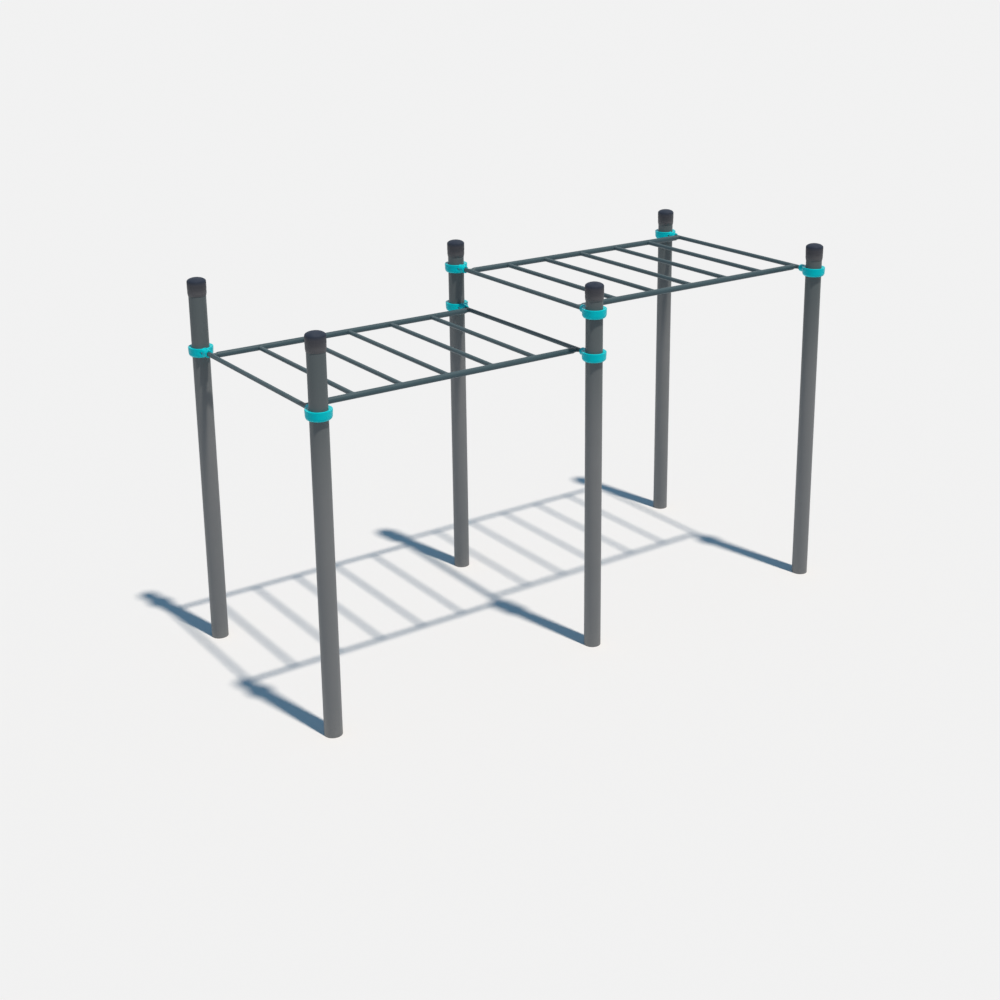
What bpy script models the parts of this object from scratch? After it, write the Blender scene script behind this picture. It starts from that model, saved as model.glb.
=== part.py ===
# Outdoor workout station: a low and a high horizontal ladder hung between six round posts.
# Metres, +Z up. The origin is on the ground, in the middle of the six posts.
# +X runs along the ladders towards the high one, +Y towards the back row of posts.

import math

import bmesh
import bpy
from mathutils import Matrix, Vector

# Layout
POST_SPACING_X = 2.0  # between the axes of the posts that carry one ladder
POST_SPACING_Y = 1.643  # between the two rows of posts
OVERALL_HEIGHT = 2.553  # ground to the top of a cap
CAP_TO_CLAMP = 0.051  # cap down to the high ladder's clamps
CLAMP_TO_CLAMP = 0.226  # between the two clamps on a middle post
SOCKET_TO_RAIL = 0.026  # bar socket to the side of the nearest rail
BAYS = 6  # gaps between bars along one ladder

# Posts
POST_DIAMETER = 0.114
POST_WALL = 0.004

# Caps, moulded domes that slip over the top of a post
CAP_HEIGHT = 0.120
CAP_HEAD_HEIGHT = 0.074  # top of the dome to the ledge above the collar
CAP_DOME = 0.026  # height of the dome, whose foot rests on the post
CAP_WALL = 0.005
CAP_SEAT = 0.003  # how far the cap reaches in over the end of the post
CAP_LEDGE = 0.0008  # step from the head in to the collar, as deep as it is high
CAP_SKIRT = 0.018  # the collar's tapered end
CAP_SKIRT_WALL = 0.0012  # at its lower edge

# Ladder tubes
RAIL_DIAMETER = 0.040
RAIL_WALL = 0.003
RAIL_NECK = 0.025  # axis of the end bar to where the rail starts to widen
RAIL_SWAGE = 0.020  # length over which it widens from the end bar's diameter
BAR_DIAMETER = 0.030  # rungs and end bars
BAR_WALL = 0.003

# Clamps, each one casting: a ring that slides down a post, slit through its bar socket
CLAMP_WALL = 0.025
CLAMP_RISE = 0.029  # axis of the bar up to the ring's lip
CLAMP_DROP = 0.035  # axis of the bar down to the underside
CLAMP_DISH = 0.007  # how deep the top falls from its lip to the post
CLAMP_LIP = 0.003  # chamfer outside the lip
CLAMP_TAPER = 0.002  # the ring is this much smaller in radius at the foot of its side
CLAMP_ROUND_WIDTH = 0.0175  # the rounding under the side, inwards
CLAMP_ROUND_HEIGHT = 0.0225  # and down
CLAMP_SLIT = 0.002
SOCKET_LENGTH = 0.0455  # from the ring out to the mouth
SOCKET_ROOT_WALL = 0.0135
SOCKET_MOUTH_WALL = 0.0105
SOCKET_EDGE_BEVEL = 0.003
SOCKET_TO_POCKET = 0.006  # bar to the seat of the bolt's head
BAR_END_GAP = 0.001  # post to the end of a bar
BAR_PIN_INSET = 0.017  # end of a bar to the axis of the bolt through it

# Bolts, M8: each one pins the bar in its socket and draws the slit together
BOLT_DIAMETER = 0.008
HEAD_DIAMETER = 0.013
HEAD_HEIGHT = 0.008
KEY_ACROSS = 0.006
KEY_FLOOR = 0.004  # head left under the hexagonal recess
BOLT_GRIP = 0.008  # thread in the casting past the bar
HOLE_ROOM = 0.001  # blind hole past the end of the bolt
POCKET_ROOM = 0.0008  # around the head in its pocket

CLEARANCE = 0.0003  # between pieces that touch
SUNK = 0.0005  # how deep joined shapes reach into each other
CUT = 0.02  # how far a cutter runs past what it cuts

# Facets
POST_SIDES = 24
TUBE_SIDES = 12
POCKET_SIDES = 10
BOLT_SIDES = 8
HEX_SIDES = 6
DOME_STEPS = 4
HOLLOW_STEPS = 2  # inside of the dome
ROUND_STEPS = 3

POST_RADIUS = POST_DIAMETER / 2
RAIL_RADIUS = RAIL_DIAMETER / 2
BAR_RADIUS = BAR_DIAMETER / 2
POST_HEIGHT = OVERALL_HEIGHT - CAP_DOME - CLEARANCE

SOCKET_ROOT_RADIUS = BAR_RADIUS + SOCKET_ROOT_WALL
SOCKET_MOUTH_RADIUS = BAR_RADIUS + SOCKET_MOUTH_WALL
CLAMP_BORE = POST_RADIUS + CLEARANCE
CLAMP_RADIUS = POST_RADIUS + CLAMP_WALL
SOCKET_REACH = CLAMP_RADIUS + SOCKET_LENGTH

KEY_RADIUS = KEY_ACROSS / 2 / math.cos(math.pi / HEX_SIDES)
POCKET_RADIUS = HEAD_DIAMETER / 2 + POCKET_ROOM
POCKET_FLOOR = BAR_RADIUS + SOCKET_TO_POCKET
BOLT_HOLE_RADIUS = BOLT_DIAMETER / 2 + CLEARANCE
BOLT_REACH = BAR_RADIUS + BOLT_GRIP
BOLT_Y = POST_RADIUS + BAR_END_GAP + BAR_PIN_INSET

HIGH_LADDER_HEIGHT = OVERALL_HEIGHT - CAP_HEIGHT - CAP_TO_CLAMP - CLAMP_RISE
LOW_LADDER_HEIGHT = HIGH_LADDER_HEIGHT - CLAMP_DROP - CLAMP_TO_CLAMP - CLAMP_RISE
RAIL_Y = POST_SPACING_Y / 2 - SOCKET_REACH - SOCKET_TO_RAIL - RAIL_RADIUS
BAR_END_Y = POST_SPACING_Y / 2 - POST_RADIUS - BAR_END_GAP
RUNG_PITCH = POST_SPACING_X / BAYS

ALONG_X = Matrix.Rotation(math.radians(90), 4, "Y")  # turns a shape that stands along Z
ALONG_Y = Matrix.Rotation(math.radians(-90), 4, "X")

for leftover in list(bpy.data.objects):
    bpy.data.objects.remove(leftover, do_unlink=True)


def new_collection(name):
    collection = bpy.data.collections.new(name)
    bpy.context.scene.collection.children.link(collection)
    return collection


STATION = new_collection("outdoor_workout_station")
CUTTERS = new_collection("cutters")


def new_material(name, colour, roughness, metallic):
    material = bpy.data.materials.new(name)
    material.use_nodes = True
    shader = material.node_tree.nodes["Principled BSDF"]
    shader.inputs["Base Color"].default_value = (*colour, 1.0)
    shader.inputs["Roughness"].default_value = roughness
    shader.inputs["Metallic"].default_value = metallic
    return material


POST_PAINT = new_material("post_paint", (0.100, 0.112, 0.120), 0.55, 0.0)
BAR_PAINT = new_material("bar_paint", (0.065, 0.090, 0.105), 0.50, 0.0)
CAP_PLASTIC = new_material("cap_plastic", (0.050, 0.047, 0.054), 0.60, 0.0)
CLAMP_PAINT = new_material("clamp_paint", (0.003, 0.400, 0.450), 0.40, 0.0)
BOLT_ZINC = new_material("bolt_zinc", (0.550, 0.570, 0.600), 0.35, 1.0)


def new_object(name, mesh, collection):
    thing = bpy.data.objects.new(name, mesh)
    collection.objects.link(thing)
    return thing


def as_cutter(thing):
    thing.hide_render = True
    thing.display_type = "WIRE"
    return thing


def round_bar(name, radius, low, high, sides, turn=None, far_radius=None):
    """A solid cylinder or cone along Z from low to high, then turned by a matrix."""
    shape = bmesh.new()
    end_radius = radius if far_radius is None else far_radius
    bmesh.ops.create_cone(
        shape, cap_ends=True, segments=sides, radius1=radius, radius2=end_radius, depth=high - low
    )
    bmesh.ops.translate(shape, verts=shape.verts, vec=Vector((0, 0, (low + high) / 2)))
    if turn is not None:
        bmesh.ops.transform(shape, matrix=turn, verts=shape.verts)
    mesh = bpy.data.meshes.new(name)
    shape.to_mesh(mesh)
    shape.free()
    return as_cutter(new_object(name, mesh, CUTTERS))


def open_tube(name, radius, length, sides, wall, turn):
    """A pipe about the origin: an open cylinder given its wall by Solidify."""
    shape = bmesh.new()
    bmesh.ops.create_cone(
        shape, cap_ends=False, segments=sides, radius1=radius, radius2=radius, depth=length
    )
    bmesh.ops.transform(shape, matrix=turn, verts=shape.verts)
    bmesh.ops.recalc_face_normals(shape, faces=shape.faces)
    mesh = bpy.data.meshes.new(name)
    shape.to_mesh(mesh)
    shape.free()
    pipe = as_cutter(new_object(name, mesh, CUTTERS))
    solidify = pipe.modifiers.new("wall", "SOLIDIFY")
    solidify.thickness = wall
    solidify.offset = -1.0
    solidify.use_even_offset = True
    return pipe


def boolean(thing, other, operation):
    modifier = thing.modifiers.new(other.name, "BOOLEAN")
    modifier.operation = operation
    modifier.solver = "EXACT"
    modifier.object = other


def bevel(thing, width, segments, angle=60):
    modifier = thing.modifiers.new("edges", "BEVEL")
    modifier.width = width
    modifier.segments = segments
    modifier.limit_method = "ANGLE"
    modifier.angle_limit = math.radians(angle)


def finished_mesh(thing, name, material):
    """The thing's shape with its modifiers applied, as one mesh that copies share."""
    bpy.context.view_layer.update()
    graph = bpy.context.evaluated_depsgraph_get()
    mesh = bpy.data.meshes.new_from_object(thing.evaluated_get(graph))
    mesh.name = name
    mesh.materials.clear()
    mesh.materials.append(material)
    mesh.shade_smooth()
    mesh.set_sharp_from_angle(angle=math.radians(35))
    return mesh


def moved(thing, x=0.0, y=0.0, z=0.0):
    """Shifts a cutter in its own mesh."""
    thing.data.transform(Matrix.Translation((x, y, z)))
    return thing


def quarter(width, height, steps):
    """Points on a quarter of an ellipse, from its side to its top."""
    angles = [math.radians(90 * step / steps) for step in range(steps + 1)]
    return [(width * math.cos(angle), height * math.sin(angle)) for angle in angles]


def lathed(name, section, sides, axis="Z", closed=False):
    """A turned shape from its section of radius and height, which runs down on the outside."""
    profile = bpy.data.meshes.new(name)
    edges = [(index, index + 1) for index in range(len(section) - 1)]
    if closed:
        edges.append((len(section) - 1, 0))
    profile.from_pydata([(radius, 0.0, height) for radius, height in section], edges, [])
    if axis == "X":
        profile.transform(ALONG_X)
    turned = as_cutter(new_object(name, profile, CUTTERS))
    screw = turned.modifiers.new("turn", "SCREW")
    screw.axis = axis
    screw.steps = sides
    screw.render_steps = sides
    screw.use_merge_vertices = True
    screw.merge_threshold = 0.00001
    return turned


def post_mesh():
    lift = Matrix.Translation((0, 0, POST_HEIGHT / 2))
    pipe = open_tube("post_pipe", POST_RADIUS, POST_HEIGHT, POST_SIDES, POST_WALL, lift)
    return finished_mesh(pipe, "post", POST_PAINT)


def cap_mesh():
    """A hollow dome with a straight head, a narrower collar and a tapered skirt."""
    bore = POST_RADIUS + CLEARANCE
    head = bore + CAP_WALL
    collar = head - CAP_LEDGE
    foot = OVERALL_HEIGHT - CAP_DOME
    ledge = OVERALL_HEIGHT - CAP_HEAD_HEIGHT
    low = OVERALL_HEIGHT - CAP_HEIGHT
    section = [(x, foot + z) for x, z in reversed(quarter(head, CAP_DOME, DOME_STEPS))]
    section.append((head, ledge))
    section.append((collar, ledge - CAP_LEDGE))
    section.append((collar, low + CAP_SKIRT))
    section.append((bore + CAP_SKIRT_WALL, low))
    section.append((bore, low))
    section.append((bore, foot))
    hollow = quarter(bore - CAP_SEAT, CAP_DOME - CAP_WALL, HOLLOW_STEPS)
    section.extend((x, foot + z) for x, z in hollow)
    return finished_mesh(lathed("cap_profile", section, POST_SIDES), "cap", CAP_PLASTIC)


def cope_ends(pipe, length, turn, cope_radius, cope_turn):
    """Hollows both ends of a pipe to sit on the round tubes that it meets."""
    reach = RAIL_RADIUS + CUT
    for side in (-1, 1):
        cope = round_bar(
            f"{pipe.name}_cope", cope_radius + CLEARANCE, -reach, reach, TUBE_SIDES, cope_turn
        )
        end = turn @ Vector((0, 0, side * length / 2))
        boolean(pipe, moved(cope, *end), "DIFFERENCE")


def rail_mesh():
    """A pipe along X, swaged at both ends to the diameter of the end bars and coped onto them."""
    end = POST_SPACING_X / 2
    neck = end - RAIL_NECK
    shoulder = neck - RAIL_SWAGE
    outside = [(BAR_RADIUS, end), (BAR_RADIUS, neck), (RAIL_RADIUS, shoulder)]
    outside.extend([(radius, -height) for radius, height in reversed(outside)])
    inside = [(radius - RAIL_WALL, height) for radius, height in reversed(outside)]
    pipe = lathed("rail", outside + inside, TUBE_SIDES, "X", closed=True)
    cope_ends(pipe, POST_SPACING_X, ALONG_X, BAR_RADIUS, ALONG_Y)
    return finished_mesh(pipe, "rail", BAR_PAINT)


def rung_mesh():
    """A pipe along Y from rail to rail, coped onto both."""
    pipe = open_tube("rung", BAR_RADIUS, 2 * RAIL_Y, TUBE_SIDES, BAR_WALL, ALONG_Y)
    cope_ends(pipe, 2 * RAIL_Y, ALONG_Y, RAIL_RADIUS, ALONG_X)
    return finished_mesh(pipe, "rung", BAR_PAINT)


def end_bar_mesh():
    """A pipe along Y from socket to socket, drilled across at both ends for the bolts."""
    bar = open_tube("end_bar", BAR_RADIUS, 2 * BAR_END_Y, TUBE_SIDES, BAR_WALL, ALONG_Y)
    for side in (-1, 1):
        drill(bar, "end_bar_hole", -BAR_RADIUS - CUT, side * (BAR_END_Y - BAR_PIN_INSET))
    return finished_mesh(bar, "end_bar", BAR_PAINT)


def drill(thing, name, start, y):
    """A bolt hole along X, from its start out through the +X side."""
    hole = round_bar(name, BOLT_HOLE_RADIUS, start, CLAMP_RADIUS + CUT, BOLT_SIDES, ALONG_X)
    boolean(thing, moved(hole, y=y), "DIFFERENCE")


def bolt_mesh():
    """A screw along X in its place, with its head and hexagonal recess at +X."""
    seat = POCKET_FLOOR + CLEARANCE
    head_end = seat + HEAD_HEIGHT
    bolt = round_bar("bolt", BOLT_DIAMETER / 2, -BOLT_REACH, seat + SUNK, BOLT_SIDES, ALONG_X)
    head = round_bar("bolt_head", HEAD_DIAMETER / 2, seat, head_end, POCKET_SIDES, ALONG_X)
    key = round_bar("bolt_key", KEY_RADIUS, seat + KEY_FLOOR, head_end + CUT, HEX_SIDES, ALONG_X)
    boolean(bolt, head, "UNION")
    boolean(bolt, key, "DIFFERENCE")
    return finished_mesh(bolt, "bolt", BOLT_ZINC)


def ring_section():
    """The clamp's ring: a dished top, a lip, a tapered side, a rounded underside and the bore."""
    foot = CLAMP_RADIUS - CLAMP_TAPER
    section = [(CLAMP_BORE, CLAMP_RISE - CLAMP_DISH)]
    section.append((CLAMP_RADIUS - CLAMP_LIP, CLAMP_RISE))
    section.append((CLAMP_RADIUS, CLAMP_RISE - CLAMP_LIP))
    for across, down in quarter(CLAMP_ROUND_WIDTH, CLAMP_ROUND_HEIGHT, ROUND_STEPS):
        radius = foot - CLAMP_ROUND_WIDTH + across
        section.append((radius, -CLAMP_DROP + CLAMP_ROUND_HEIGHT - down))
    section.append((CLAMP_BORE, -CLAMP_DROP))
    return section


def clamp_mesh():
    """The ring with its bar socket towards +Y, slit and given a bolt pocket at +X."""
    casting = lathed("clamp", ring_section(), POST_SIDES, closed=True)
    boss = round_bar(
        "clamp_boss",
        SOCKET_ROOT_RADIUS,
        CLAMP_BORE + SUNK,
        SOCKET_REACH,
        TUBE_SIDES,
        ALONG_Y,
        SOCKET_MOUTH_RADIUS,
    )
    bevel(boss, SOCKET_EDGE_BEVEL, 1)
    boolean(casting, boss, "UNION")
    socket_radius = BAR_RADIUS + CLEARANCE
    socket = round_bar("clamp_socket", socket_radius, 0.0, SOCKET_REACH + CUT, TUBE_SIDES, ALONG_Y)
    boolean(casting, socket, "DIFFERENCE")
    boolean(casting, slit_cutter(), "DIFFERENCE")
    pocket = round_bar(
        "clamp_pocket", POCKET_RADIUS, POCKET_FLOOR, CLAMP_RADIUS + CUT, POCKET_SIDES, ALONG_X
    )
    boolean(casting, moved(pocket, y=BOLT_Y), "DIFFERENCE")
    drill(casting, "clamp_hole", -BOLT_REACH - HOLE_ROOM, BOLT_Y)
    return finished_mesh(casting, "clamp", CLAMP_PAINT)


def slit_cutter():
    """A thin block through the ladder's side of the ring and the length of its socket."""
    reach = SOCKET_REACH + CUT
    shape = bmesh.new()
    bmesh.ops.create_cube(shape, size=1.0)
    bmesh.ops.scale(shape, verts=shape.verts, vec=(CLAMP_SLIT, reach, 2 * (CLAMP_DROP + CUT)))
    mesh = bpy.data.meshes.new("clamp_slit")
    shape.to_mesh(mesh)
    shape.free()
    return moved(as_cutter(new_object("clamp_slit", mesh, CUTTERS)), y=reach / 2)


def place(name, mesh, parent, location=(0.0, 0.0, 0.0)):
    thing = new_object(name, mesh, STATION)
    thing.parent = parent
    thing.location = location
    return thing


def new_empty(name, location, turn=0.0):
    empty = new_object(name, None, STATION)
    empty.location = location
    empty.rotation_euler = (0.0, 0.0, turn)
    return empty


def build_posts():
    """Six posts with their caps. The empties of the back row are turned half round."""
    post = post_mesh()
    cap = cap_mesh()
    sites = {}
    for column, x in (("low", -POST_SPACING_X), ("middle", 0.0), ("high", POST_SPACING_X)):
        for row, side in (("front", -1), ("back", 1)):
            turn = 0.0 if side < 0 else math.pi
            site = new_empty(f"site_{column}_{row}", (x, side * POST_SPACING_Y / 2, 0.0), turn)
            place(f"post_{column}_{row}", post, site)
            place(f"cap_{column}_{row}", cap, site)
            sites[column, row] = site
    return sites


def build_clamps(sites):
    """Each ladder hangs in four clamps; the middle posts carry one of each ladder."""
    clamp = clamp_mesh()
    bolt = bolt_mesh()
    held = (
        ("low", "start", "low", LOW_LADDER_HEIGHT),
        ("low", "finish", "middle", LOW_LADDER_HEIGHT),
        ("high", "start", "middle", HIGH_LADDER_HEIGHT),
        ("high", "finish", "high", HIGH_LADDER_HEIGHT),
    )
    for ladder, end, column, height in held:
        for row in ("front", "back"):
            site = sites[column, row]
            tag = f"{ladder}_{end}_{row}"
            place(f"clamp_{tag}", clamp, site, (0.0, 0.0, height))
            place(f"bolt_{tag}", bolt, site, (0.0, BOLT_Y, height))


def build_ladders():
    """Two welded frames, alike: two rails, an end bar at each end and the rungs between."""
    rail = rail_mesh()
    rung = rung_mesh()
    end_bar = end_bar_mesh()
    ladders = (
        ("low", -POST_SPACING_X / 2, LOW_LADDER_HEIGHT),
        ("high", POST_SPACING_X / 2, HIGH_LADDER_HEIGHT),
    )
    for ladder, x, height in ladders:
        frame = new_empty(f"ladder_{ladder}", (x, 0.0, height))
        for row, side in (("front", -1), ("back", 1)):
            place(f"rail_{ladder}_{row}", rail, frame, (0.0, side * RAIL_Y, 0.0))
        for end, side in (("start", -1), ("finish", 1)):
            place(f"end_bar_{ladder}_{end}", end_bar, frame, (side * POST_SPACING_X / 2, 0.0, 0.0))
        for number in range(1, BAYS):
            rung_x = number * RUNG_PITCH - POST_SPACING_X / 2
            place(f"rung_{ladder}_{number}", rung, frame, (rung_x, 0.0, 0.0))


build_clamps(build_posts())
build_ladders()
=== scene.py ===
import math

import bmesh
import bpy
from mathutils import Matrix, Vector


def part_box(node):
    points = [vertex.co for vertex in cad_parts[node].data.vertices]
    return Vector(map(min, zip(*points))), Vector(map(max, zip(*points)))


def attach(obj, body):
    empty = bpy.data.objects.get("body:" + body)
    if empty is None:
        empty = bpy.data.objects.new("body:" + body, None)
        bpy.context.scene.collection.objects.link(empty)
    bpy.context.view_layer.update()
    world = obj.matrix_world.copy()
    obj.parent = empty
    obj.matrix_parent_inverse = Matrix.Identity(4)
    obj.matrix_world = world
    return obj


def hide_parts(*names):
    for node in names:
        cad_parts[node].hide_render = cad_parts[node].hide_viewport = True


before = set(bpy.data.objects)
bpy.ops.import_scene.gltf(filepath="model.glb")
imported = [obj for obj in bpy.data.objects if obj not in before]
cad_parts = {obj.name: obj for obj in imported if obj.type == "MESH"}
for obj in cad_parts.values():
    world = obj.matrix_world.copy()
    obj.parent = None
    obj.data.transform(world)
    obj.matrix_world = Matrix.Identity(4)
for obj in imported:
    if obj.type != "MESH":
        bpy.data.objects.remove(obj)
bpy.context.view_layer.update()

# Street workout station: six posts, a low and a high horizontal ladder, and the clamps that hold them.
# +X runs along the ladders to the high one, +Y to the back row, and z is 0 on the ground.


# picture: camera, light and floor

view = {
    "location": (-5.7735, -8.2296, 4.7878),
    "pitch": 15.98,  # degrees down from level
    "turn": -36.58,  # degrees round from looking along +Y
    "lens": 54.14,
    "sensor": 36,
    "farthest": 1000,
    "shift": (-0.06, -0.15),
}
light = {
    "sunFrom": (0.156, -0.90, 2.49),  # direction to the sun
    "sunPlace": (1, -5, 8),  # where its lamp stands, which changes nothing
    "sunStrength": 3.045,
    "sunColour": (1.0, 0.901, 0.797),
    "sunSize": 2.5,  # degrees across, for soft shadow edges
    "skyFill": (0.09, 0.18, 0.275),
    "backdrop": 0.879,
}
ground = {
    "size": 400.0,
    "colour": 0.885,
    "roughness": 0.9,
    "farColour": 0.42,  # what the far floor sends back up, so the posts darken gently upwards
    "footprint": (2.0, 0.82),  # half the length and width that the posts stand on
    "nearReach": 0.9,
    "farReach": 6.0,
}


def addCamera():
    bpy.ops.object.camera_add(location=view["location"])
    camera = bpy.context.object
    camera.name = "pictureCamera"
    camera.rotation_euler = (math.radians(90 - view["pitch"]), 0, math.radians(view["turn"]))
    camera.data.lens = view["lens"]
    camera.data.sensor_width = view["sensor"]
    camera.data.shift_x, camera.data.shift_y = view["shift"]
    camera.data.clip_end = view["farthest"]
    bpy.context.scene.camera = camera


def addSun():
    bpy.ops.object.light_add(type="SUN", location=light["sunPlace"])
    sun = bpy.context.object
    sun.name = "softSun"
    sun.rotation_euler = Vector(light["sunFrom"]).to_track_quat("Z", "Y").to_euler()
    sun.data.energy = light["sunStrength"]
    sun.data.color = light["sunColour"]
    sun.data.angle = math.radians(light["sunSize"])


def seenDirectly(tree):
    # 1 for rays that show the background: from the camera, off gloss and through glass
    path = tree.nodes.new("ShaderNodeLightPath")
    total = path.outputs["Is Camera Ray"]
    for name in ("Is Glossy Ray", "Is Transmission Ray"):
        most = tree.nodes.new("ShaderNodeMath")
        most.operation = "MAXIMUM"
        tree.links.new(total, most.inputs[0])
        tree.links.new(path.outputs[name], most.inputs[1])
        total = most.outputs[0]
    return total


def addSky():
    sky = bpy.data.worlds.new("paleRoom")
    sky.use_nodes = True
    bpy.context.scene.world = sky
    tree = sky.node_tree
    fill = tree.nodes["Background"]
    fill.inputs["Color"].default_value = (*light["skyFill"], 1)
    backdrop = tree.nodes.new("ShaderNodeBackground")
    backdrop.inputs["Color"].default_value = (light["backdrop"],) * 3 + (1,)
    mix = tree.nodes.new("ShaderNodeMixShader")
    tree.links.new(seenDirectly(tree), mix.inputs["Fac"])
    tree.links.new(fill.outputs[0], mix.inputs[1])
    tree.links.new(backdrop.outputs[0], mix.inputs[2])
    tree.links.new(mix.outputs[0], tree.nodes["World Output"].inputs["Surface"])


def vectorStep(tree, operation, first, second=None):
    node = tree.nodes.new("ShaderNodeVectorMath")
    node.operation = operation
    tree.links.new(first, node.inputs[0])
    if second is not None:
        node.inputs[1].default_value = second
    return node.outputs["Value"] if operation == "LENGTH" else node.outputs["Vector"]


def addFloor():
    bpy.ops.mesh.primitive_plane_add(size=ground["size"], location=(0, 0, 0))
    floor = bpy.context.object
    floor.name = "paleFloor"
    finish = bpy.data.materials.new("paleFloor")
    finish.use_nodes = True
    tree = finish.node_tree
    shader = tree.nodes["Principled BSDF"]
    shader.inputs["Roughness"].default_value = ground["roughness"]
    shader.inputs["Specular IOR Level"].default_value = 0.0

    # distance out from the block that the posts stand on
    place = tree.nodes.new("ShaderNodeTexCoord").outputs["Object"]
    outside = vectorStep(tree, "SUBTRACT", vectorStep(tree, "ABSOLUTE", place), (*ground["footprint"], 0))
    far = vectorStep(tree, "LENGTH", vectorStep(tree, "MAXIMUM", outside, (0, 0, 0)))
    fade = tree.nodes.new("ShaderNodeMapRange")
    fade.interpolation_type = "SMOOTHSTEP"
    fade.inputs["From Min"].default_value = ground["nearReach"]
    fade.inputs["From Max"].default_value = ground["farReach"]
    fade.inputs["To Min"].default_value = ground["colour"]
    fade.inputs["To Max"].default_value = ground["farColour"]
    tree.links.new(far, fade.inputs["Value"])
    mix = tree.nodes.new("ShaderNodeMix")
    mix.data_type = "FLOAT"
    mix.inputs["B"].default_value = ground["colour"]
    tree.links.new(seenDirectly(tree), mix.inputs["Factor"])
    tree.links.new(fade.outputs["Result"], mix.inputs["A"])
    tree.links.new(mix.outputs["Result"], shader.inputs["Base Color"])
    floor.data.materials.append(finish)


addCamera()
addSun()
addSky()
addFloor()
bpy.context.scene.view_settings.view_transform = "Standard"
print("camera, light and floor are in")


# finishes

paints = {
    "postPaint": {  # anthracite powder coat
        "dark": (0.160, 0.167, 0.172),
        "light": (0.182, 0.188, 0.192),
        "specular": 0.50,
        "roughness": (0.42, 0.55),
        "patches": 5.0,
        "peel": 420.0,
        "peelDepth": 0.00007,
        "paintedShade": (0.020, 0.045, 0.052),  # painted shade: the coat darkens towards the posts' tops in place of light that dims there
        "paintedShadeAmount": 0.64,  # 0 for an even coat
        "paintedShadeFrom": 1.3,  # height where it starts, and where it is whole
        "paintedShadeTo": 2.4,
        "dust": (0.34, 0.32, 0.29),
        "dustAmount": 0.18,
    },
    "barPaint": {  # blue-grey powder coat
        "dark": (0.044, 0.082, 0.098),
        "light": (0.054, 0.097, 0.115),
        "specular": 0.30,
        "roughness": (0.34, 0.50),
        "patches": 9.0,
        "peel": 520.0,
        "peelDepth": 0.00006,
    },
    "clampPaint": {  # turquoise coat on cast metal
        "dark": (0.001, 0.571, 0.648),
        "light": (0.002, 0.641, 0.707),
        "specular": 0.45,
        "roughness": (0.38, 0.50),
        "patches": 30.0,
        "peel": 260.0,
        "peelDepth": 0.00005,
        "gloss": (0.05, 0.85, 0.90),
    },
}
capPlastic = {
    "dark": (0.036, 0.037, 0.047),
    "light": (0.046, 0.047, 0.058),
    "collar": (0.104, 0.100, 0.106),
    "fade": (0.010, 0.064),  # the collar's paler tone starts and ends this far above the cap's foot
    # painted shade with a painted blue sky reflection: the dome's top is darker and bluer than the
    # plastic
    "crownPaintedShade": (0.012, 0.022, 0.044),
    "crownSoft": 0.22,  # how much rougher the crown is
    "crownFade": (0.074, 0.100),
    "specular": 0.42,
    "roughness": (0.48, 0.62),
    "cloud": 22.0,
    "grain": 900.0,
    "grainDepth": 0.00005,
}
boltZinc = {  # bluish green like the photograph's dots: real zinc is near (0.55, 0.57, 0.60)
    "dark": (0.09, 0.27, 0.33),
    "light": (0.15, 0.35, 0.41),
    "roughness": (0.56, 0.70),
    "cloud": 160.0,
    "grain": 700.0,
    "grainDepth": 0.00003,
}
coat = {  # what all the powder coats share
    "streaks": (38, 38, 1.6),  # fine across, long down a post
    "streakShare": 0.35,
    "toneSpan": (0.35, 1.0),
    "dustTop": 0.38,  # height that splashes reach
    "dustFall": 2.2,  # how quickly they thin upwards
    "dustSpots": 70.0,
    "dustSpan": (0.40, 0.66),
}
cloudSpan = (0.3, 0.7)  # the part of a noise that is spread from one tone to the other


def newFinish(name):
    finish = bpy.data.materials.new(name)
    finish.use_nodes = True
    tree = finish.node_tree
    place = tree.nodes.new("ShaderNodeTexCoord").outputs["Object"]
    return finish, tree, tree.nodes["Principled BSDF"], place


def noiseOf(tree, place, scale, detail=2.0, roughness=0.5):
    noise = tree.nodes.new("ShaderNodeTexNoise")
    noise.inputs["Scale"].default_value = scale
    noise.inputs["Detail"].default_value = detail
    noise.inputs["Roughness"].default_value = roughness
    tree.links.new(place, noise.inputs["Vector"])
    return noise.outputs["Fac"]


def stretched(tree, place, amount):
    mapping = tree.nodes.new("ShaderNodeMapping")
    mapping.inputs["Scale"].default_value = amount
    tree.links.new(place, mapping.inputs["Vector"])
    return mapping.outputs["Vector"]


def heightOf(tree, place):
    split = tree.nodes.new("ShaderNodeSeparateXYZ")
    tree.links.new(place, split.inputs[0])
    return split.outputs["Z"]


def ranged(tree, value, low, high, toLow, toHigh, gently=False):
    span = tree.nodes.new("ShaderNodeMapRange")
    if gently:
        span.interpolation_type = "SMOOTHSTEP"
    span.inputs["From Min"].default_value = low
    span.inputs["From Max"].default_value = high
    span.inputs["To Min"].default_value = toLow
    span.inputs["To Max"].default_value = toHigh
    tree.links.new(value, span.inputs["Value"])
    return span.outputs["Result"]


def combined(tree, operation, first, second):
    node = tree.nodes.new("ShaderNodeMath")
    node.operation = operation
    for socket, value in zip(node.inputs, (first, second)):
        if isinstance(value, float):
            socket.default_value = value
        else:
            tree.links.new(value, socket)
    return node.outputs[0]


def blended(tree, factor, first, second):
    mix = tree.nodes.new("ShaderNodeMix")
    mix.data_type = "RGBA"
    sockets = [s for s in mix.inputs if s.type == "RGBA"]
    for socket, colour in zip(sockets, (first, second)):
        if isinstance(colour, tuple):
            socket.default_value = (*colour, 1)
        else:
            tree.links.new(colour, socket)
    tree.links.new(factor, mix.inputs["Factor"])
    return [s for s in mix.outputs if s.type == "RGBA"][0]


def bumped(tree, shader, height, depth):
    bump = tree.nodes.new("ShaderNodeBump")
    bump.inputs["Distance"].default_value = depth
    tree.links.new(height, bump.inputs["Height"])
    tree.links.new(bump.outputs["Normal"], shader.inputs["Normal"])


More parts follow.
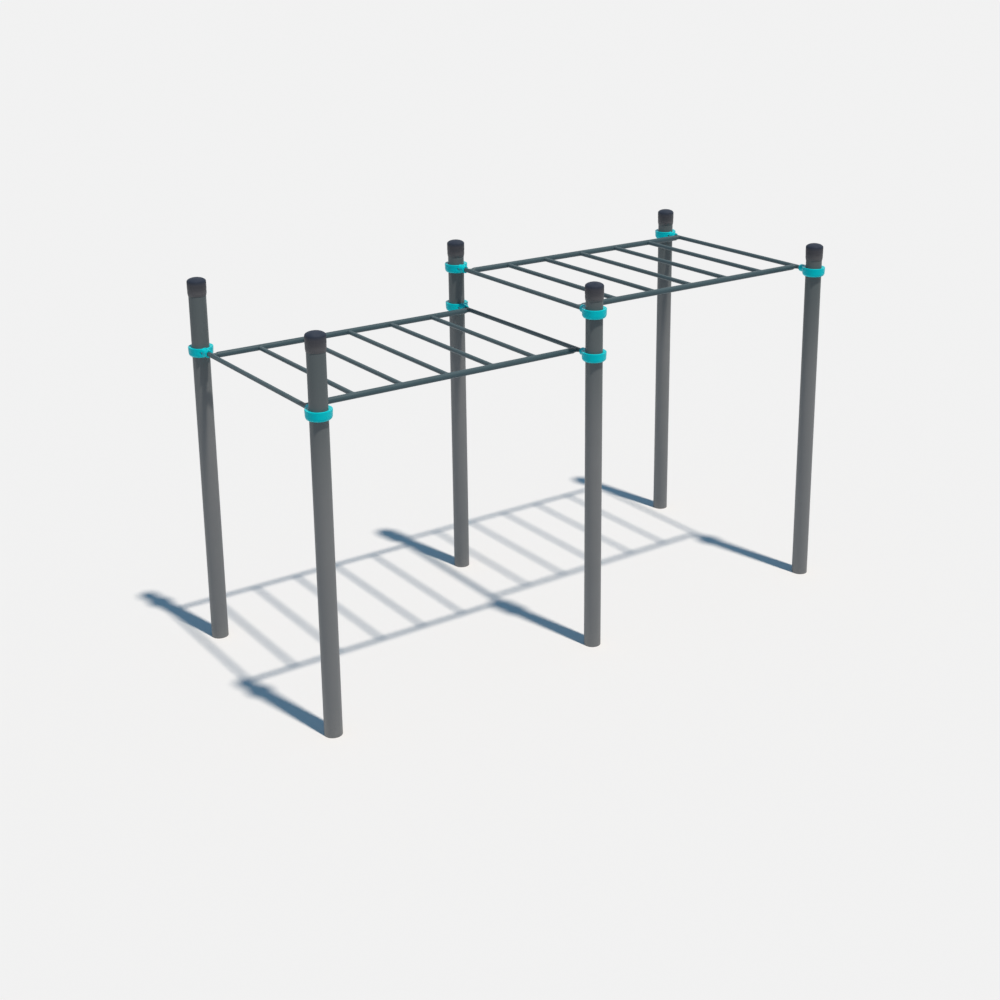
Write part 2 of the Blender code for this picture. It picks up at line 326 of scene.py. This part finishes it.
def powderCoat(name, look):
    finish, tree, shader, place = newFinish(name)
    shader.inputs["Specular IOR Level"].default_value = look["specular"]
    patches = noiseOf(tree, place, look["patches"], 4.0, 0.55)
    streaks = noiseOf(tree, stretched(tree, place, coat["streaks"]), 1.0, 3.0)
    tone = combined(tree, "ADD", patches, combined(tree, "MULTIPLY", streaks, coat["streakShare"]))
    colour = blended(tree, ranged(tree, tone, *coat["toneSpan"], 0.0, 1.0), look["dark"], look["light"])
    # painted shade: each post's colour darkens towards its top, standing in for light that dims there
    if "paintedShade" in look:
        height = heightOf(tree, place)
        amount = ranged(tree, height, look["paintedShadeFrom"], look["paintedShadeTo"], 0.0, look["paintedShadeAmount"], True)
        colour = blended(tree, amount, colour, look["paintedShade"])
    if "dust" in look:
        low = ranged(tree, heightOf(tree, place), 0.0, coat["dustTop"], 1.0, 0.0)
        specks = noiseOf(tree, place, coat["dustSpots"], 5.0, 0.65)
        spots = ranged(tree, specks, *coat["dustSpan"], 0.0, 1.0)
        splash = combined(tree, "MULTIPLY", combined(tree, "POWER", low, coat["dustFall"]), spots)
        film = combined(tree, "MULTIPLY", splash, look["dustAmount"])
        colour = blended(tree, film, colour, look["dust"])
    if "gloss" in look:
        shader.inputs["Specular Tint"].default_value = (*look["gloss"], 1)
    tree.links.new(colour, shader.inputs["Base Color"])
    rough = ranged(tree, patches, *cloudSpan, *look["roughness"])
    tree.links.new(rough, shader.inputs["Roughness"])
    bumped(tree, shader, noiseOf(tree, place, look["peel"], 2.0), look["peelDepth"])
    return finish


def mouldedPlastic(name, look):
    finish, tree, shader, place = newFinish(name)
    shader.inputs["Specular IOR Level"].default_value = look["specular"]
    cloud = noiseOf(tree, place, look["cloud"], 4.0)
    colour = blended(tree, ranged(tree, cloud, *cloudSpan, 0.0, 1.0), look["dark"], look["light"])
    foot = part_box("cap_low_front")[0].z
    # the cap's lower part turns paler towards its foot
    start, end = look["fade"]
    paleFootShare = ranged(tree, heightOf(tree, place), foot + start, foot + end, 1.0, 0.0)
    colour = blended(tree, paleFootShare, colour, look["collar"])
    # painted shade and painted sky reflection over the dome's top, which is also made rougher
    start, end = look["crownFade"]
    top = ranged(tree, heightOf(tree, place), foot + start, foot + end, 0.0, 1.0)
    colour = blended(tree, top, colour, look["crownPaintedShade"])
    tree.links.new(colour, shader.inputs["Base Color"])
    rough = ranged(tree, cloud, *cloudSpan, *look["roughness"])
    rough = combined(tree, "ADD", rough, combined(tree, "MULTIPLY", top, look["crownSoft"]))
    tree.links.new(rough, shader.inputs["Roughness"])
    bumped(tree, shader, noiseOf(tree, place, look["grain"], 3.0, 0.6), look["grainDepth"])
    return finish


def zincPlate(name, look):
    finish, tree, shader, place = newFinish(name)
    shader.inputs["Metallic"].default_value = 1.0
    cloud = noiseOf(tree, place, look["cloud"], 4.0)
    colour = blended(tree, ranged(tree, cloud, *cloudSpan, 0.0, 1.0), look["dark"], look["light"])
    tree.links.new(colour, shader.inputs["Base Color"])
    tree.links.new(ranged(tree, cloud, *cloudSpan, *look["roughness"]), shader.inputs["Roughness"])
    bumped(tree, shader, noiseOf(tree, place, look["grain"], 3.0), look["grainDepth"])
    return finish


finishes = {name: powderCoat(name, look) for name, look in paints.items()}
finishes["capPlastic"] = mouldedPlastic("capPlastic", capPlastic)
finishes["boltZinc"] = zincPlate("boltZinc", boltZinc)
print("finishes:", ", ".join(finishes))


# working by hand, in code

level = 1e-6  # heights this close are one height
touch = 1e-5  # points this close to a face's place lie on it
turns = {"X": (0, math.radians(90), 0), "Y": (math.radians(-90), 0, 0), "Z": (0, 0, 0)}


def grab(piece):
    if bpy.context.mode != "OBJECT":
        bpy.ops.object.mode_set(mode="OBJECT")
    bpy.ops.object.select_all(action="DESELECT")
    piece.select_set(True)
    bpy.context.view_layer.objects.active = piece


def openUp(piece, kind):
    grab(piece)
    bpy.ops.object.mode_set(mode="EDIT")
    bpy.ops.mesh.select_mode(type=kind)
    bpy.ops.mesh.select_all(action="DESELECT")
    return bmesh.from_edit_mesh(piece.data)


def closeUp():
    bpy.ops.object.mode_set(mode="OBJECT")


def pickFaces(piece, wanted):
    shape = openUp(piece, "FACE")
    for face in shape.faces:
        face.select_set(wanted(face.calc_center_median(), face.normal))
    bmesh.update_edit_mesh(piece.data)


def pickEdges(piece, wanted):
    shape = openUp(piece, "EDGE")
    for edge in shape.edges:
        edge.select_set(wanted(*(corner.co for corner in edge.verts)))
    bmesh.update_edit_mesh(piece.data)


def pickPoints(piece, wanted):
    shape = openUp(piece, "VERT")
    for point in shape.verts:
        point.select_set(wanted(point.co))
    bmesh.update_edit_mesh(piece.data)


def fixPlace(piece):
    grab(piece)
    bpy.ops.object.transform_apply(location=True, rotation=True, scale=True)


def roundBar(name, radius, length, sides, location=(0, 0, 0), along="Z", farRadius=None, ends="NGON"):
    # a bar or cone whose far end is towards + on its axis
    bpy.ops.object.select_all(action="DESELECT")
    bpy.ops.mesh.primitive_cone_add(
        vertices=sides,
        radius1=radius,
        radius2=radius if farRadius is None else farRadius,
        depth=length,
        end_fill_type=ends,
        location=location,
        rotation=turns[along],
    )
    piece = bpy.context.object
    piece.name = name
    fixPlace(piece)
    return piece


def barBetween(name, radius, low, high, sides, along, y=0.0):
    # a plain bar along X or Z through (0, y), from low to high
    middle = (low + high) / 2
    place = (middle, y, 0) if along == "X" else (0, y, middle)
    return roundBar(name, radius, high - low, sides, place, along)


def drawOut(along, away, k=1.0):
    # extrudes what is picked along an axis and scales its end about that axis
    step = (away, 0, 0) if along == "X" else (0, 0, away)
    bpy.ops.mesh.extrude_region_move(TRANSFORM_OT_translate={"value": step})
    if k != 1.0:
        scale = (1, k, k) if along == "X" else (k, k, 1)
        bpy.ops.transform.resize(value=scale, center_override=(0, 0, 0))


def drawRound(radius, across, up, steps):
    # carries the picked end over a quarter of an ellipse, in by across and along Z by up
    height, last = 0.0, radius
    for step in range(1, steps + 1):
        angle = math.radians(90 * step / steps)
        rise = up * math.sin(angle)
        narrow = radius - across * (1 - math.cos(angle))
        if narrow < level:
            drawOut("Z", rise - height)
            bpy.ops.mesh.merge(type="CENTER")
            return
        drawOut("Z", rise - height, narrow / last)
        height, last = rise, narrow


def applyLast(piece):
    grab(piece)
    bpy.ops.object.modifier_apply(modifier=piece.modifiers[-1].name)


def giveWall(piece, wall):
    solid = piece.modifiers.new("wall", "SOLIDIFY")
    solid.thickness = wall
    solid.offset = -1
    solid.use_even_offset = True
    applyLast(piece)


def combine(piece, tool, operation):
    work = piece.modifiers.new("cut", "BOOLEAN")
    work.operation = operation
    work.solver = "EXACT"
    work.object = tool
    applyLast(piece)
    bpy.data.objects.remove(tool, do_unlink=True)


def bevelPicked(width, segments):
    bpy.ops.mesh.bevel(offset=width, offset_type="OFFSET", segments=segments, affect="EDGES")
    closeUp()


def copyTo(master, name, place, turned=False):
    grab(master)
    bpy.ops.object.duplicate(linked=False)
    piece = bpy.context.object
    piece.name = name
    piece.data.name = name
    if turned:
        bpy.ops.transform.rotate(value=math.pi, orient_axis="Z", center_override=(0, 0, 0))
    bpy.ops.transform.translate(value=place)
    fixPlace(piece)
    return piece


def dress(piece, paint, node):
    piece.data.materials.clear()
    piece.data.materials.append(finishes[paint])
    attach(piece, "root")
    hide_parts(node)


def smoothOver(piece, degrees):
    grab(piece)
    bpy.ops.object.shade_smooth_by_angle(angle=math.radians(degrees))


def middleOf(node):
    low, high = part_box(node)
    return (low + high) / 2


def throwAway(*masters):
    for master in masters:
        bpy.data.objects.remove(master, do_unlink=True)


# posts

post = {"wall": 0.004, "sides": 96, "edge": 0.0008}
columns = ("low", "middle", "high")
rows = ("front", "back")
postLow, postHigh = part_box("post_low_front")
postRadius = (postHigh.x - postLow.x) / 2


def makePost():
    place = (0, 0, postHigh.z / 2)
    tube = roundBar("postMaster", postRadius, postHigh.z, post["sides"], place, ends="NOTHING")
    giveWall(tube, post["wall"])
    pickEdges(tube, lambda a, b: abs(a.z - b.z) < level and abs(a.xy.length - b.xy.length) < touch)
    bevelPicked(post["edge"], 2)
    smoothOver(tube, 40)
    return tube


master = makePost()
for column in columns:
    for row in rows:
        name = f"post_{column}_{row}"
        middle = middleOf(name)
        dress(copyTo(master, f"tube_{name}", (middle.x, middle.y, 0)), "postPaint", name)
throwAway(master)
print("posts are up")


# caps: a dome over a straight head, a narrower collar and a tapered skirt

cap = {
    "room": 0.0003,  # between the post and the bore
    "wall": 0.005,
    "dome": 0.026,
    "seat": 0.003,  # how far the cap reaches in over the post's end
    "headHeight": 0.074,
    "ledge": 0.0008,
    "skirt": 0.018,
    "skirtWall": 0.0012,
    "fine": 0.0005,
    "sides": 96,
    "steps": 12,
}


def makeCap():
    low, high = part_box("cap_low_front")
    bore = postRadius + cap["room"]
    head = bore + cap["wall"]
    collar = head - cap["ledge"]
    skirt = bore + cap["skirtWall"]
    foot = high.z - cap["dome"]
    ledge = high.z - cap["headHeight"]
    piece = barBetween("capMaster", head, ledge, foot, cap["sides"], "Z")
    pickFaces(piece, lambda c, n: n.z > 0.9)
    drawRound(head, head, cap["dome"], cap["steps"])

    # down over the ledge, the collar and the skirt, then up the bore and over inside the dome
    pickFaces(piece, lambda c, n: n.z < -0.9)
    drawOut("Z", -cap["ledge"], collar / head)
    drawOut("Z", low.z + cap["skirt"] - (ledge - cap["ledge"]))
    drawOut("Z", -cap["skirt"], skirt / collar)
    bpy.ops.mesh.inset(thickness=skirt - bore, use_even_offset=True)
    drawOut("Z", foot - low.z)
    seat = bore - cap["seat"]
    bpy.ops.mesh.inset(thickness=cap["seat"], use_even_offset=True)
    drawRound(seat, seat, cap["dome"] - cap["wall"], cap["steps"])

    # the moulding's edges are a little soft
    soft = (ledge, ledge - cap["ledge"], low.z + cap["skirt"], low.z)
    pickEdges(
        piece,
        lambda a, b: abs(a.z - b.z) < level
        and a.xy.length > bore + cap["skirtWall"] / 2
        and any(abs(a.z - z) < touch for z in soft),
    )
    bevelPicked(cap["fine"] / 2, 2)
    smoothOver(piece, 30)
    return piece


master = makeCap()
for column in columns:
    for row in rows:
        name = f"cap_{column}_{row}"
        middle = middleOf(name)
        dress(copyTo(master, f"cover_{name}", (middle.x, middle.y, 0)), "capPlastic", name)
throwAway(master)


# clamps, each one casting: +Y is towards the ladder, z is 0 on the bar's axis

clamp = {
    "room": 0.0003,
    "dish": 0.007,  # how deep the top falls from its lip to the post
    "lip": 0.003,
    "lipRound": 0.0013,
    "taper": 0.002,
    "roundAcross": 0.0175,  # the rounding under the side
    "roundUp": 0.0225,
    "rootRadius": 0.0285,
    "mouthRadius": 0.0255,
    "mouthEdge": 0.003,
    "slit": 0.002,
    "fillet": 0.012,  # how far the fillet spreads round the foot of the socket
    "voxel": 0.0014,  # size of the casting's faces
    "rub": 8,
    "filletRub": 55,
    "filletFrom": 0.04,  # the fillet is only on the side of the socket
    "filletShare": 0.8,  # its spread round the socket, as a share of that along it
    "roundSteps": 8,
    "past": 0.02,  # how far each cut runs on
    "sawHeight": 0.12,
    "sides": 128,
    "cutSides": 96,
    "socketSides": 64,
}
bolt = {
    "shank": 0.004,
    "seat": 0.0213,  # where the head bears, out from the bar's axis
    "head": 0.0065,
    "headHeight": 0.008,
    "rim": 0.0007,
    "key": 0.00346,
    "keyDepth": 0.004,
    "end": -0.023,
    "ridges": 7,
    "pitch": 0.00125,
    "root": 0.90,
    "pocketRoom": 0.0004,
    "holeRoom": 0.0003,
    "holeEnd": -0.024,
    "tip": 0.8,  # width of the chamfered end, as a share of the shank
    "keyPast": 0.01,
    "sides": 32,
    "pocketSides": 40,
}
clampLow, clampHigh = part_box("clamp_low_start_front")
site = middleOf("post_low_front")
barLow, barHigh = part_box("end_bar_low_start")
barRadius = (barHigh.x - barLow.x) / 2
barAxis = (barLow.z + barHigh.z) / 2
ringRadius = site.x - clampLow.x
ringRise = clampHigh.z - barAxis
ringDrop = barAxis - clampLow.z
socketReach = clampHigh.y - site.y
boltAt = middleOf("bolt_low_start_front").y - site.y


def castBlank():
    # the ring: lip and dish at the top, taper and rounding below
    side = -ringDrop + clamp["roundUp"]
    brow = ringRise - clamp["lip"]
    foot = ringRadius - clamp["taper"]
    place = (0, 0, (side + brow) / 2)
    piece = roundBar("clampMaster", foot, brow - side, clamp["sides"], place, farRadius=ringRadius)
    pickFaces(piece, lambda c, n: n.z > 0.9)
    lipRadius = ringRadius - clamp["lip"]
    drawOut("Z", clamp["lip"], lipRadius / ringRadius)
    bpy.ops.mesh.inset(thickness=lipRadius - postRadius, use_even_offset=True)
    bpy.ops.transform.translate(value=(0, 0, -clamp["dish"]))
    pickFaces(piece, lambda c, n: n.z < -0.9)
    drawRound(foot, clamp["roundAcross"], -clamp["roundUp"], clamp["roundSteps"])
    closeUp()
    pickEdges(
        piece,
        lambda a, b: abs(a.z - b.z) < level
        and min(abs(a.z - brow), abs(a.z - ringRise)) < level,
    )
    bevelPicked(clamp["lipRound"], 4)

    # the bar's socket
    start = postRadius + clamp["room"]
    middle = (0, (start + socketReach) / 2, 0)
    root, mouth = clamp["rootRadius"], clamp["mouthRadius"]
    boss = roundBar("boss", root, socketReach - start, clamp["cutSides"], middle, "Y", mouth)
    pickEdges(boss, lambda a, b: min(a.y, b.y) > socketReach - touch)
    bevelPicked(clamp["mouthEdge"], 3)
    combine(piece, boss, "UNION")
    rubSmooth(piece)
    return piece


def rubSmooth(piece):
    grid = piece.modifiers.new("grid", "REMESH")
    grid.mode = "VOXEL"
    grid.voxel_size = clamp["voxel"]
    grid.use_smooth_shade = True
    applyLast(piece)
    rub = piece.modifiers.new("rub", "SMOOTH")
    rub.factor = 0.5
    rub.iterations = clamp["rub"]
    applyLast(piece)

    # the foot of the socket is rubbed down further, to a fillet
    def nearFoot(point):
        off = abs(point.xy.length - ringRadius)
        across = abs(Vector((point.x, point.z)).length - clamp["rootRadius"])
        near = off < clamp["fillet"] and across < clamp["fillet"] * clamp["filletShare"]
        return point.y > clamp["filletFrom"] and near

    pickPoints(piece, nearFoot)
    bpy.ops.mesh.vertices_smooth(factor=0.5, repeat=clamp["filletRub"])
    closeUp()


def castClamp():
    piece = castBlank()
    past = clamp["past"]
    bore = postRadius + clamp["room"]
    drill = barBetween("bore", bore, -ringDrop - past, ringRise + past, clamp["cutSides"], "Z")
    combine(piece, drill, "DIFFERENCE")
    reach = socketReach + past
    place = (0, reach / 2, 0)
    socket = roundBar("socket", barRadius + clamp["room"], reach, clamp["socketSides"], place, "Y")
    combine(piece, socket, "DIFFERENCE")

    # the saw's slit, the pocket for the bolt's head and the blind hole
    bpy.ops.object.select_all(action="DESELECT")
    thin = (clamp["slit"], reach, clamp["sawHeight"])
    bpy.ops.mesh.primitive_cube_add(size=1, location=place, scale=thin)
    saw = bpy.context.object
    fixPlace(saw)
    combine(piece, saw, "DIFFERENCE")
    floor = bolt["seat"] - bolt["holeRoom"]
    out = ringRadius + past
    width = bolt["head"] + bolt["pocketRoom"]
    pocket = barBetween("pocket", width, floor, out, bolt["pocketSides"], "X", boltAt)
    combine(piece, pocket, "DIFFERENCE")
    width = bolt["shank"] + bolt["holeRoom"]
    hole = barBetween("hole", width, bolt["holeEnd"], out, bolt["sides"], "X", boltAt)
    combine(piece, hole, "DIFFERENCE")
    smoothOver(piece, 38)
    return piece


def makeBolt():
    # a socket head screw along X: its shank, then thread ridges down to a chamfered end
    headEnd = bolt["seat"] + bolt["headHeight"]
    plain = bolt["end"] + (bolt["ridges"] + 1) * bolt["pitch"]
    piece = barBetween("boltMaster", bolt["shank"], plain, bolt["seat"], bolt["sides"], "X")
    pickFaces(piece, lambda c, n: n.x < -0.9)
    for ridge in range(bolt["ridges"]):
        drawOut("X", -bolt["pitch"] / 2, bolt["root"])
        drawOut("X", -bolt["pitch"] / 2, 1 / bolt["root"])
    drawOut("X", -bolt["pitch"] / 2)
    drawOut("X", -bolt["pitch"] / 2, bolt["tip"])

    # out to the head and along it, with a soft rim and the recess for the key
    pickFaces(piece, lambda c, n: n.x > 0.9)
    drawOut("X", 0.0, bolt["head"] / bolt["shank"])
    drawOut("X", bolt["headHeight"])
    closeUp()
    pickEdges(piece, lambda a, b: min(a.x, b.x) > headEnd - level)
    bevelPicked(bolt["rim"], 3)
    key = barBetween("key", bolt["key"], headEnd - bolt["keyDepth"], headEnd + bolt["keyPast"], 6, "X")
    combine(piece, key, "DIFFERENCE")
    smoothOver(piece, 35)
    return piece


clampMaster = castClamp()
print("clamps are cast,", len(clampMaster.data.polygons), "faces each")
boltMaster = makeBolt()
print("bolts are made,", len(boltMaster.data.polygons), "faces each")
held = (
    ("low", "start", "low"),
    ("low", "finish", "middle"),
    ("high", "start", "middle"),
    ("high", "finish", "high"),
)
for ladder, end, column in held:
    for row in rows:
        tag = f"{ladder}_{end}_{row}"
        turned = row == "back"
        place = middleOf(f"post_{column}_{row}")
        place.z = middleOf(f"end_bar_{ladder}_{end}").z
        dress(copyTo(clampMaster, f"cast_clamp_{tag}", place, turned), "clampPaint", f"clamp_{tag}")
        place.y += -boltAt if turned else boltAt
        dress(copyTo(boltMaster, f"screw_{tag}", place, turned), "boltZinc", f"bolt_{tag}")
throwAway(clampMaster, boltMaster)
print("clamps are screwed on")


# ladders: rails, rungs and end bars, with weld beads where they meet

tubes = {
    "wall": 0.003,
    "gap": 0.0003,
    "neck": 0.025,  # length of a rail's narrow end, from the end bar's axis
    "swage": 0.020,  # length over which it widens
    "swageSteps": 8,
    "sides": 64,
    "pin": 0.017,  # end of an end bar to its bolt
    "edge": 0.0005,
    "keep": 0.007,  # from a cut to the ring of edges beside it
    "drill": 0.03,  # how far the pin's drill reaches each side of the axis
    "saddle": 4,  # length of a cope's cutter, in radii of the tube
    "saddleSides": 96,
}
weld = {
    "bead": 0.0028,
    "lift": 0.0006,
    "ripple": 0.16,
    "thin": 0.9,  # how much a bead thins where the two tubes only touch
    "step": 0.0026,
    "around": 8,
    "along": 4,  # points to a ripple
    "fade": 8,  # how suddenly a bead thins towards its tip
}
railLow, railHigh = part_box("rail_low_front")
railRadius = (railHigh.z - railLow.z) / 2


def weldBead(radius, target, along, side, where):
    # a rippled ring round the end of one tube, laid into the saddle where it meets the other
    ripples = round(2 * math.pi * radius / weld["step"])
    bpy.ops.object.select_all(action="DESELECT")
    bpy.ops.mesh.primitive_torus_add(
        major_radius=radius + weld["lift"],
        minor_radius=weld["bead"],
        major_segments=ripples * weld["along"],
        minor_segments=weld["around"],
        rotation=turns[along],
    )
    bead = bpy.context.object
    fixPlace(bead)
    for point in bead.data.vertices:
        across = point.co.x if along == "Y" else point.co.y
        angle = math.atan2(point.co.z, across)
        outward = Vector((math.cos(angle), math.sin(angle)))
        core = outward * (radius + weld["lift"])
        phase = (angle / (2 * math.pi) * ripples) % 1.0
        edge = abs(radius * math.sin(angle) / target) ** weld["fade"]
        k = (1 - weld["ripple"] * phase) * (1 - weld["thin"] * edge)
        flat = Vector((across, point.co.z))
        flat = core + (flat - core) * k - outward * weld["lift"] * edge
        axial = (point.co.y if along == "Y" else point.co.x) * k
        drop = math.sqrt(max(0.0, target ** 2 - (radius * math.sin(angle)) ** 2))
        axial -= side * drop
        point.co = (flat.x, axial, flat.y) if along == "Y" else (axial, flat.x, flat.y)
    bead.data.update()
    grab(bead)
    bpy.ops.transform.translate(value=where)
    fixPlace(bead)
    smoothOver(bead, 60)
    return bead


def ringAt(piece, along, places):
    # a ring of edges at each place, so that a cut near it leaves the long faces alone
    normal = (1, 0, 0) if along == "X" else (0, 1, 0)
    for place in places:
        openUp(piece, "FACE")
        bpy.ops.mesh.select_all(action="SELECT")
        centre = tuple(place * part for part in normal)
        bpy.ops.mesh.bisect(plane_co=centre, plane_no=normal)
        closeUp()


def weldOn(piece, radius, length, along, target):
    # copes both ends of a tube onto the tubes that it meets and lays their beads
    other = "X" if along == "Y" else "Y"
    beads = []
    inner = length / 2 - target - tubes["keep"]
    ringAt(piece, along, (-inner, inner))
    for side in (1, -1):
        end = Vector((0, side * length / 2, 0)) if along == "Y" else Vector((side * length / 2, 0, 0))
        reach = tubes["saddle"] * radius
        saddle = roundBar("saddle", target + tubes["gap"], reach, tubes["saddleSides"], end, other)
        combine(piece, saddle, "DIFFERENCE")
        beads.append(weldBead(radius, target, along, side, end))
    smoothOver(piece, 35)
    for bead in beads:
        grab(bead)
        piece.select_set(True)
        bpy.context.view_layer.objects.active = piece
        bpy.ops.object.join()
    return piece


def plainTube(name, length):
    piece = roundBar(name, barRadius, length, tubes["sides"], along="Y", ends="NOTHING")
    giveWall(piece, tubes["wall"])
    return piece


def makeRail(length):
    # the full tube first, then both ends drawn down to the end bars' size
    full = length / 2 - tubes["neck"] - tubes["swage"]
    piece = roundBar("railMaster", railRadius, 2 * full, tubes["sides"], along="X", ends="NOTHING")
    steps = tubes["swageSteps"]
    for side in (1, -1):
        pickEdges(piece, lambda a, b: min(side * a.x, side * b.x) > full - touch)
        last = railRadius
        for step in range(1, steps + 1):
            share = (1 - math.cos(math.pi * step / steps)) / 2
            radius = railRadius + (barRadius - railRadius) * share
            drawOut("X", side * tubes["swage"] / steps, radius / last)
            last = radius
        drawOut("X", side * tubes["neck"])
        closeUp()
    giveWall(piece, tubes["wall"])
    return weldOn(piece, barRadius, length, "X", barRadius)


def makeEndBar(length):
    piece = plainTube("endBarMaster", length)
    width = bolt["shank"] + bolt["holeRoom"]
    drill = tubes["drill"]
    for side in (1, -1):
        y = side * (length / 2 - tubes["pin"])
        ringAt(piece, "Y", (y - tubes["keep"], y + tubes["keep"]))
        combine(piece, barBetween("hole", width, -drill, drill, bolt["sides"], "X", y), "DIFFERENCE")
    pickEdges(piece, lambda a, b: min(abs(a.y), abs(b.y)) > length / 2 - touch)
    bevelPicked(tubes["edge"], 2)
    smoothOver(piece, 35)
    return piece


railSpan = (middleOf("end_bar_low_finish") - middleOf("end_bar_low_start")).x
rungSpan = (middleOf("rail_low_back") - middleOf("rail_low_front")).y
railMaster = makeRail(railSpan)
rungMaster = weldOn(plainTube("rungMaster", rungSpan), barRadius, rungSpan, "Y", railRadius)
endBarMaster = makeEndBar(barHigh.y - barLow.y)
for ladder in ("low", "high"):
    for row in rows:
        node = f"rail_{ladder}_{row}"
        dress(copyTo(railMaster, f"welded_{node}", middleOf(node)), "barPaint", node)
    for end in ("start", "finish"):
        node = f"end_bar_{ladder}_{end}"
        dress(copyTo(endBarMaster, f"tube_{node}", middleOf(node)), "barPaint", node)
    for number in range(1, 6):
        node = f"rung_{ladder}_{number}"
        dress(copyTo(rungMaster, f"welded_{node}", middleOf(node)), "barPaint", node)
throwAway(railMaster, rungMaster, endBarMaster)
print("ladders are welded")
